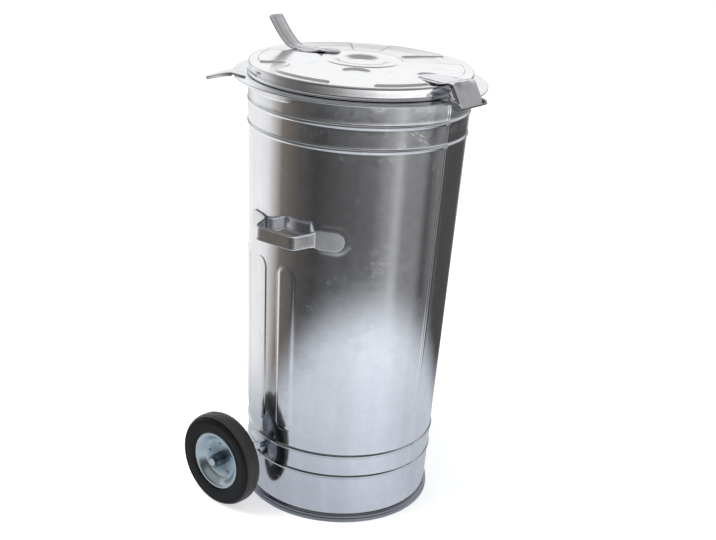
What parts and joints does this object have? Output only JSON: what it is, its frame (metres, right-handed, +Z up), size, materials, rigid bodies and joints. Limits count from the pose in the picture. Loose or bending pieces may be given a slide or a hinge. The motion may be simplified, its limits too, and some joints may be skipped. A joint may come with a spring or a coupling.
{
  "type": "wheeled waste bin",
  "caption": "Round flared galvanised waste bin with hinged embossed lid and lever, wide collar, lifting lugs, strap handles and two side wheels.",
  "frame": {"origin": "middle of the foot ring, on the floor plane", "axes": "+Z up; lid hinge at -Y, lid lever and wheels towards +Y; wheel axles along X"},
  "size_m": [0.573, 0.5273, 0.985],
  "materials": {
    "galvanised_steel": "hot-dip galvanised sheet, satin, faint spangle",
    "zinc_plate": "bright bluish zinc plate",
    "tyre_rubber": "matt black rubber"
  },
  "bodies": {
    "bin": {"body_shell": "galvanised_steel", "bottom_plate": "galvanised_steel", "base_ring": "galvanised_steel", "collar_ring": "galvanised_steel", "hinge_bracket": "galvanised_steel", "hinge_pin": "zinc_plate", "hinge_pin_rings": "zinc_plate", "lug_left": "galvanised_steel", "handle_left": "galvanised_steel", "axle_bracket_left": "galvanised_steel", "stub_axle_left": "zinc_plate", "axle_washers_left": "zinc_plate", "axle_clip_left": "zinc_plate", "lug_right": "galvanised_steel", "handle_right": "galvanised_steel", "axle_bracket_right": "galvanised_steel", "stub_axle_right": "zinc_plate", "axle_washers_right": "zinc_plate", "axle_clip_right": "zinc_plate"},
    "lid": {"lid_shell": "galvanised_steel", "hinge_strap": "galvanised_steel", "hinge_strap_rivets": "zinc_plate", "lid_lever": "galvanised_steel", "lid_lever_rivets": "zinc_plate"},
    "wheel_left": {"tyre_left": "tyre_rubber", "outer_rim_disc_left": "zinc_plate", "inner_rim_disc_left": "zinc_plate", "hub_tube_left": "zinc_plate", "rim_rivets_left": "zinc_plate"},
    "wheel_right": {"tyre_right": "tyre_rubber", "outer_rim_disc_right": "zinc_plate", "inner_rim_disc_right": "zinc_plate", "hub_tube_right": "zinc_plate", "rim_rivets_right": "zinc_plate"}
  },
  "joints": [
    {"name": "lid_hinge", "type": "hinge", "parent": "bin", "child": "lid", "pos_m": [0, -0.2662, 0.8924], "axis": [1, 0, 0], "range_deg": [0, 260]},
    {"name": "left_wheel_spin", "type": "hinge", "parent": "bin", "child": "wheel_left", "pos_m": [-0.259, 0.1, 0.1], "axis": [1, 0, 0], "continuous": true},
    {"name": "right_wheel_spin", "type": "hinge", "parent": "bin", "child": "wheel_right", "pos_m": [0.259, 0.1, 0.1], "axis": [1, 0, 0], "continuous": true}
  ]
}
